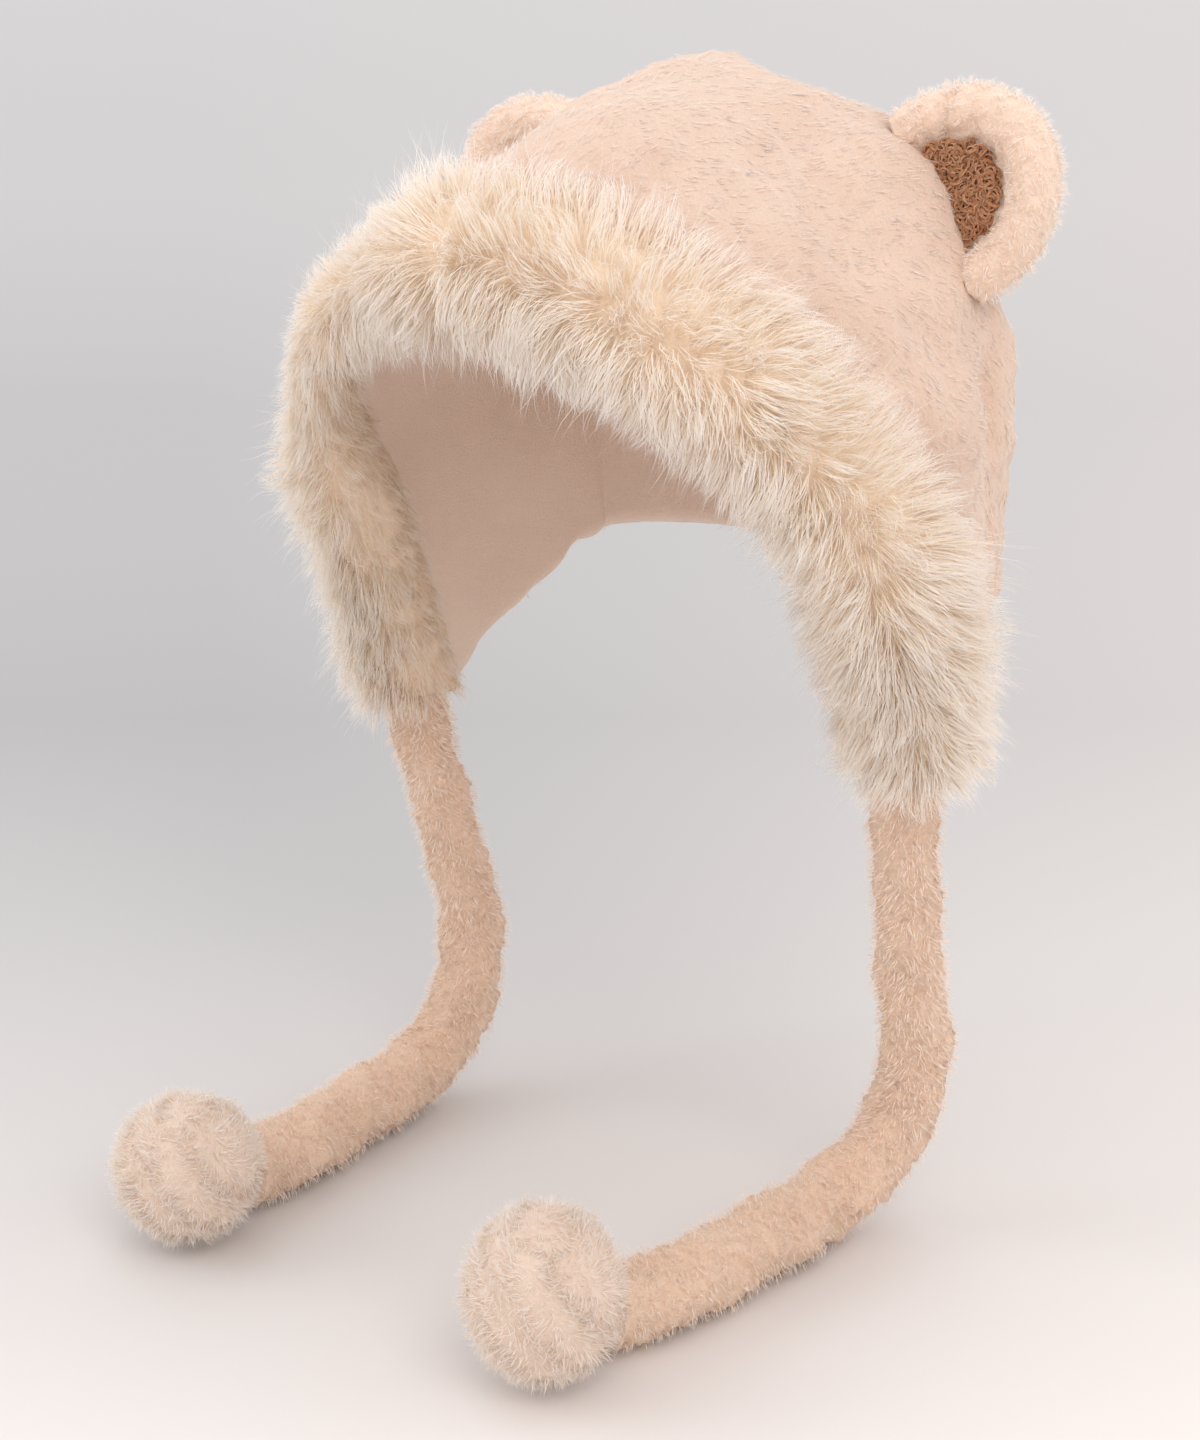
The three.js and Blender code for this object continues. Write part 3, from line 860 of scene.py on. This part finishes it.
trimRows = np.array([
    # millimetres back from the face edge and up from the plush on the under-fur's roll, the
    # turns of a hair's root and tip, counted from straight up towards the back, and its length
    (3, -12, -170, -170, 12),
    (-4, -14, -160, -165, 15),
    (-11, -11, -135, -160, 19),
    (-15, -4, -110, -145, 21),
    (-15, 4, -90, -125, 22),
    (-11, 11, -55, -85, 21),
    (-4, 15, -10, 15, 18),
    (5, 15.5, 25, 50, 20),
    (13, 12, 45, 70, 22),
    (19, 7, 55, 80, 21),
    (23, 1, 65, 85, 18),
])
trimSeat = np.array([(18, -1), (3, -2)]) / 1000
trimRoll = trimRows[:, :2] / 1000
trimRun = np.concatenate([[0], np.cumsum(np.linalg.norm(np.diff(trimRoll, axis=0), axis=1))])
trimPlaces = trimRun / trimRun[-1]
# the last colour is the painted shade's colour, for the inner edge and the far flap
furHair = hairMaterial(
    "furHair", paint(240, 213, 186), paint(252, 234, 214), paint(255, 248, 238),
    paint(202, 176, 154),
)
furBody = clothMaterial("furBody", paint(246, 226, 203), paint(228, 203, 177), 700, 0.7)


def farShare(u):
    # where the fur lies low on the far side of the brow
    return (u < 0) * smoothStep(-u, 0.03, 0.16) * (1 - smoothStep(-u, 0.4, 0.6))


def trimPoint(u, back, up):
    up = up * (1 - trim["farShrink"] * farShare(u))
    speed = np.linalg.norm(formPoint(u, 0 * u) - formPoint(u, 0 * u + 0.15), axis=-1) / 0.15
    behind = hoodPoint(u, np.maximum(back, 0) / speed, -up)
    return behind + formFrame(u, 0 * u)[1] * (np.minimum(back, 0) + 0 * u)[..., None]


def trimLines(u, s, spread, steps):
    # s runs over the roll, from the lining round the parting ridge to the crown
    back, up, first, last, length = (np.interp(s, trimPlaces, column) for column in trimRows.T)
    roots = trimPoint(u, trim["sink"] * back / 1000, trim["sink"] * up / 1000)
    normal, backward, along = formFrame(u, 0 * u + 0.02)
    down = along * np.sign(u)[:, None]
    first = np.radians(first + dice.normal(0, trim["rootTurns"], len(u)))
    last = np.radians(last + dice.normal(0, trim["tipTurns"], len(u)))
    lean = dice.normal(0, spread, len(u)) + trim["sway"] * np.sin(u * 17 + 3 * s)
    side = np.abs(u)
    hang = trim["hang"][0] + trim["hang"][1] * smoothStep(side, 0.72, 1)
    firstWay = normal * np.cos(first)[:, None] + backward * np.sin(first)[:, None]
    lastWay = normal * np.cos(last)[:, None] + backward * np.sin(last)[:, None]
    firstWay = unit(firstWay + down * (lean * 0.6 + hang * 0.5)[:, None])
    lastWay = unit(lastWay + down * (lean + hang)[:, None] + dice.normal(0, spread, normal.shape))
    length = length / 1000 * dice.uniform(*trim["lengthSpread"], len(u))
    rear = smoothStep(s, 0.5, 0.7)
    near = (u > 0) * smoothStep(u, 0.5, 0.7) * (1 - smoothStep(u, 0.75, 0.95))
    length = length * (1 + rear * trim["nearGrowth"] * near)
    length = length * (1 - rear * trim["footShrink"] * smoothStep(u, 0.85, 1))
    length = length * (1 - trim["innerCalm"] * smoothStep(side, 0.15, 0.5) * (s < 0.45))
    length = length * (1 - trim["farShrink"] * farShare(u) * smoothStep(s, 0.3, 0.45))
    droop = trim["droop"] + trim["droop"] * smoothStep(side, 0.3, 0.8)
    lines = bendLines(roots, firstWay, lastWay, length, steps, droop, trim["wobble"])
    return roots, normal, lines


def spreadOver(count):
    ridge = dice.uniform(0, 1, count) < trim["ridgeShare"]
    s = np.where(ridge, dice.normal(0.52, 0.1, count), dice.uniform(0, 1, count))
    return dice.uniform(-1, 1, count), np.clip(s, 0, 1)


def makeTrimFur():
    steps = trim["steps"]
    bigRoots, _, bigLines = trimLines(*spreadOver(trim["bigLocks"]), trim["bigSpread"], steps)
    lockRoots, _, lockLines = trimLines(*spreadOver(trim["locks"]), trim["lockSpread"], steps)
    bigGrips = np.full(trim["locks"], trim["bigGrip"])
    lockLines, _ = gather(lockLines, lockRoots, bigLines, bigRoots, bigGrips)
    lockShades = dice.uniform(0, 1, trim["locks"])
    count = trim["hairs"]
    u, s = spreadOver(count)
    roots, normal, lines = trimLines(u, s, trim["hairSpread"], steps)
    guard = dice.uniform(0, 1, count) < trim["guardShare"]
    longer = np.where(guard, trim["guardLength"], 1)[:, None, None]
    lines = roots[:, None] + (lines - roots[:, None]) * longer
    grip = np.where(guard, trim["guardGrip"], dice.uniform(*trim["grip"], count))
    lines, near = gather(lines, roots, lockLines, lockRoots, grip, 1.5)
    thinner = np.where(guard, trim["guardWidth"], 1)
    widths = trim["width"] * dice.uniform(*trim["widthSpread"], count) * thinner
    widths = taper(count, steps, widths, 1.15)
    shades = np.clip(lockShades[near] * 0.7 + dice.uniform(0, 0.3, count), 0, 1)
    # painted shade: darker hairs at the inner edge of the opening and on the far flap's inner rows
    paintedShades = trim["innerPaintedShade"] * (1 - smoothStep(s, 0.05, 0.3))
    shaded = trim["farPaintedShade"] * smoothStep(-u, 0.5, 0.75) * (1 - smoothStep(s, 0.35, 0.6))
    paintedShades = np.maximum(paintedShades, shaded)
    furs = []
    order = np.argsort(u)
    for word, part in zip(("far", "brow", "near"), np.array_split(order, 3)):
        furs.append(
            buildHairs(
                "fur_" + word, lines[part], widths[part], normal[part], shades[part],
                paintedShades[part], furHair,
            )
        )
    return furs


def makeTrimBody():
    # the dense under-fur: one soft roll round the face edge, closed at both flaps
    u = np.linspace(1, -1, trim["columns"])
    rings = np.stack(
        [trimPoint(u, back, up) for back, up in np.vstack([trimSeat, trimRoll])], axis=1
    )
    points, triangles = closeRings(rings, rings[:1].mean(axis=1), rings[-1:].mean(axis=1))
    body = buildMesh("fur_body", points, triangles, furBody)
    openMesh(body)
    bpy.ops.mesh.normals_make_consistent(inside=False)
    bpy.ops.mesh.tris_convert_to_quads()
    bpy.ops.mesh.subdivide(number_cuts=1, smoothness=0.5)
    closeMesh()
    matt(body, trim["tuftScale"], trim["tufts"])
    return body


trimBody = makeTrimBody()
trimFurs = makeTrimFur()
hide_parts("fur_trim")
for piece in [trimBody, *trimFurs]:
    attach(piece, "root")
print("fur trim laid")


# Ears: padded half rounds with a dished front, a curly patch and fluffier pile

ear = {
    "width": 0.0665,
    "height": 0.0385,
    "thickness": 0.0175,
    "cup": 0.006,
    "fold": 0.4,
    "place": 0.36,
    "sink": 0.005,
    "rows": 56,
    "turns": 96,
    "tuftScale": 0.0032,
    "tufts": 0.0022,
    "hairs": 5000,
    "hairLength": 0.004,
    "hairSpread": (0.6, 1.15),
    "hairWidths": (0.0003, 0.00055),
    "rootDepth": 0.0005,
    "perLock": 8,
    "grip": (0.4, 0.8),
    "patch": 0.48,
    "patchLevel": 0.27,
    "patchSink": 0.003,
    "curls": 520,
    "curlSteps": 8,
    "curlTurn": 4.4,
    "curlSizes": (0.0013, 0.0023),
    "curlWidths": (0.0008, 0.0013),
    "curlRise": 0.0016,
}
earProfile = np.array([
    # share of the reach, share of half the thickness: the dished front, the roll, the back
    (0.0, 0.26), (0.25, 0.26), (0.46, 0.27), (0.54, 0.38), (0.6, 0.66), (0.68, 0.9), (0.78, 0.97),
    (0.88, 0.84), (0.96, 0.5), (1.0, 0.0), (0.97, -0.45), (0.88, -0.74), (0.72, -0.9),
    (0.5, -0.97), (0.25, -1.0), (0.0, -1.0),
])


def earFrame(side):
    u, v = np.array([side * ear["place"]]), np.array([hood["seam"]])
    normal, back, _ = (part[0] for part in formFrame(u, v))
    out = unit(normal - back * normal.dot(back))
    along = unit(np.cross(out, back))
    return {"middle": hoodPoint(u, v)[0], "out": out, "along": along, "front": -back}


def earPoint(frame, reach, height, turn):
    lift = reach * np.sin(turn)
    foldTurn = 0.45 + 0.3 * (reach - 0.7)
    fold = np.exp(-(((turn - foldTurn) / 0.09) ** 2)) * smoothStep(reach, 0.45, 0.6)
    height = np.where(np.asarray(height) > 0, height * (1 - ear["fold"] * fold), height)
    return (
        frame["middle"]
        + frame["along"] * (reach * np.cos(turn) * ear["width"] / 2)[..., None]
        + frame["out"] * (lift * ear["height"])[..., None]
        + frame["front"] * (height + ear["cup"] * lift * np.abs(lift))[..., None]
    )


earCloth = clothMaterial("earCloth", paint(248, 226, 208), paint(236, 210, 190), 800, 0.6)
earHair = hairMaterial(
    "earHair", paint(246, 223, 205), paint(251, 234, 219), paint(255, 244, 233)
)
curlHair = hairMaterial(
    "curlHair", paint(157, 109, 77), paint(183, 133, 100), paint(200, 153, 120)
)
curlCloth = clothMaterial("curlCloth", paint(168, 120, 88), paint(140, 95, 66), 600, 0.8)


def earRings(frame, profile, turns):
    reach, height, turns = np.broadcast_arrays(profile[:, :1], profile[:, 1:], turns[None])
    return earPoint(frame, reach, height, turns)


def ringMesh(name, grid, material):
    # the profile's two ends lie on the middle, where one point shuts the mesh
    faces = closeRings(grid[1:-1], grid[0].mean(axis=0), grid[-1].mean(axis=0))
    return buildMesh(name, *faces, material)


def trimToHood(piece, frame, sink):
    # what is sewn into the seam is cut off just under the plush
    openMesh(piece)
    bpy.ops.mesh.normals_make_consistent(inside=False)
    spot = frame["middle"] - frame["out"] * sink
    bpy.ops.mesh.bisect(
        plane_co=spot, plane_no=frame["out"], clear_inner=True, clear_outer=False, use_fill=True
    )
    closeMesh()


def makeCurls(word, frame, level):
    # small loops that stand on the patch
    count = ear["curls"]
    reach = ear["patch"] * np.sqrt(dice.uniform(0, 1, count)) * 0.98
    turn = dice.uniform(-0.12, math.pi + 0.12, count)
    roots = earPoint(frame, reach, np.full(count, level + 0.001), turn)
    steps = ear["curlSteps"]
    start = dice.uniform(0, 2 * np.pi, count)[:, None]
    phase = (start + np.linspace(0, ear["curlTurn"], steps)[None])[..., None]
    size = dice.uniform(*ear["curlSizes"], count)[:, None, None]
    tilt = unit(frame["front"] + dice.normal(0, 0.5, (count, 3)))
    sideA = unit(np.cross(tilt, frame["out"]))
    sideB = np.cross(tilt, sideA)
    loops = roots[:, None] + size * (
        np.cos(phase) * sideA[:, None] + np.sin(phase) * sideB[:, None]
    )
    rise = np.linspace(0, ear["curlRise"], steps) + 0.0003
    loops += tilt[:, None] * rise[None, :, None]
    widths = taper(count, steps, dice.uniform(*ear["curlWidths"], count), 1.2)
    # painted shade: each curl is darker at its root by a random amount
    shades, paintedShades = dice.uniform(0, 1, count), dice.uniform(0, 0.3, count)
    return buildHairs("ear_curls_" + word, loops, widths, tilt, shades, paintedShades, curlHair, 0.8)


def makeEarPile(word, frame, fine, places):
    # fluffier and curlier than the hood's pile, as thick on the rim as on the back
    count, half = ear["hairs"], ear["thickness"] / 2
    turn = dice.uniform(-0.1, math.pi + 0.1, count)
    share = dice.uniform(0, 1, count)
    gaps = np.linalg.norm(np.diff(fine * [ear["width"] / 2, half], axis=0), axis=1)
    section = np.cumsum(np.concatenate([[0], gaps * (0.12 + fine[1:, 0])]))
    spot = np.maximum(np.interp(share * section[-1], section, places), 0.2)
    reach, height = (np.interp(spot, places, fine[:, k]) for k in (0, 1))
    nextReach, nextHeight = (np.interp(spot + 0.01, places, fine[:, k]) for k in (0, 1))
    roots = earPoint(frame, reach, height * half, turn)
    onward = earPoint(frame, nextReach, nextHeight * half, turn) - roots
    aside = earPoint(frame, reach, height * half, turn + 0.02) - roots
    outward = unit(np.cross(aside, onward))
    heart = earPoint(frame, reach * 0.7, height * 0, turn)
    outward *= np.sign(np.sum(outward * (roots - heart), axis=1) + 1e-12)[:, None]
    swirl = dice.normal(0, 0.45, (count, 3))
    first = unit(outward + 0.4 * swirl)
    last = unit(outward * 0.45 + swirl + np.array([0, 0, -0.25]))
    lengths = ear["hairLength"] * dice.uniform(*ear["hairSpread"], count)
    lines = bendLines(roots - outward * ear["rootDepth"], first, last, lengths, 3, droop=0.1)
    lines, _ = gatherInLocks(lines, roots, ear["perLock"], ear["grip"])
    widths = taper(count, 3, dice.uniform(*ear["hairWidths"], count))
    shades = dice.uniform(0, 1, count)
    return buildHairs(
        "ear_pile_" + word, lines, widths, outward, shades, np.zeros(count), earHair
    )


def makeEar(word, side):
    frame = earFrame(side)
    turns = 2 * np.pi * np.arange(ear["turns"]) / ear["turns"]
    half = ear["thickness"] / 2
    places = np.linspace(0, 1, ear["rows"])
    fine = catmullRom(np.column_stack([earProfile, np.zeros(len(earProfile))]), places)[:, :2]
    body = ringMesh("ear_body_" + word, earRings(frame, fine * [1, half], turns), earCloth)
    trimToHood(body, frame, ear["sink"])
    matt(body, ear["tuftScale"], ear["tufts"])
    # the curly patch in the dish
    level = ear["patchLevel"] * half + 0.0002
    rim = ear["patch"]
    patchProfile = np.array([
        (0, level + 0.0014), (rim - 0.06, level + 0.0012), (rim - 0.01, level + 0.0005),
        (rim, level), (rim - 0.02, level - 0.0008), (0, level - 0.0008),
    ])
    patch = ringMesh("ear_patch_" + word, earRings(frame, patchProfile, turns), curlCloth)
    trimToHood(patch, frame, ear["patchSink"])
    curls = makeCurls(word, frame, level)
    return body, makeEarPile(word, frame, fine, places), patch, curls


for word, side in (("left", 1), ("right", -1)):
    body, pile, patch, curls = makeEar(word, side)
    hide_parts("ear_" + word)
    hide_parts("ear_lining_" + word)
    slots = {body: "hood_plush", pile: "hood_plush", patch: "ear_patch", curls: "ear_patch"}
    for piece, slot in slots.items():
        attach(piece, "root")
print("ears sewn on")


# The floor and the light

studio = {
    "sky": paint(240, 239, 241),
    "skyPower": 1.08,
    "floor": 60,
    "turn": 38,
    "away": 0.876,
    "near": 0.7,
    # where the floor's painted warm light starts and ends across the floor, and how strong it is
    "paintedLightFrom": -0.15,
    "paintedLightTo": 0.25,
    "paintedLightShare": 0.36,
}
bpy.ops.mesh.primitive_plane_add(size=studio["floor"], location=(0, 0, floorLevel))
floor = bpy.context.object
floor.name = "studio_floor"
bpy.ops.object.transform_apply(location=True, rotation=True, scale=True)
# the floor is painted with light and shade: darker partway back, lighter near the front and far
# away, and with a painted warm light towards the right
floorPaint, wire, shader = newMaterial("floorPaint")
place = wire.node("ShaderNodeTexCoord", {}, {}, 3)
east = wire.node("ShaderNodeSeparateXYZ", {}, {0: place}, 0)
north = wire.node("ShaderNodeSeparateXYZ", {}, {0: place}, 1)
sine, cosine = math.sin(math.radians(studio["turn"])), math.cos(math.radians(studio["turn"]))
distance = north * cosine - east * sine + studio["away"]
nearness = studio["near"] / distance
sideways = (east * cosine + north * sine) / distance
# painted shade and light along the floor: darkest partway back
stops = [
    (0.0, paint(226, 224, 223)), (0.19, paint(214, 212, 211)), (0.31, paint(194, 193, 193)),
    (0.5, paint(182, 181, 181)), (0.68, paint(202, 200, 199)), (1.0, paint(233, 228, 225)),
]
tones = wire.node("ShaderNodeValToRGB", {"stops": stops}, {0: nearness})
# painted warm light, stronger towards the right
paintedWarmLight = wire.node(
    "ShaderNodeMapRange",
    {},
    {0: sideways, 1: studio["paintedLightFrom"], 2: studio["paintedLightTo"], 3: 0.0, 4: studio["paintedLightShare"]},
)
connect(shader, "Base Color", wire.mix(paintedWarmLight, tones, paint(244, 236, 231)))
shader.inputs["Roughness"].default_value = 0.8
shader.inputs["Specular IOR Level"].default_value = 0.1
floor.data.materials.append(floorPaint)

world = bpy.context.scene.world or bpy.data.worlds.new("studio")
bpy.context.scene.world = world
world.use_nodes = True
sky = next(n for n in world.node_tree.nodes if n.type == "BACKGROUND")
sky.inputs["Color"].default_value = studio["sky"]
sky.inputs["Strength"].default_value = studio["skyPower"]

bpy.context.scene.view_settings.view_transform = "Standard"
lamps = [
    # name, place, aim, size, power, colour
    ("keyLamp", (1.5, -1.0, 1.4), (0, 0, -0.12), 1.3, 15, (1, 0.95, 0.89)),
    ("fillLamp", (-1.5, -1.2, 0.7), (0, 0, -0.12), 1.3, 8, (0.93, 0.96, 1)),
    ("topLamp", (-0.1, 0.3, 1.6), (0, 0, -0.1), 1.6, 3.6, (1, 0.98, 0.96)),
]
for name, place, aim, size, power, colour in lamps:
    bpy.ops.object.light_add(type="AREA", location=place)
    lamp = bpy.context.object
    lamp.name = name
    lamp.data.size = size
    lamp.data.energy = power
    lamp.data.color = colour
    lamp.rotation_euler = (Vector(aim) - Vector(place)).to_track_quat("-Z", "Y").to_euler()
print("studio lit")
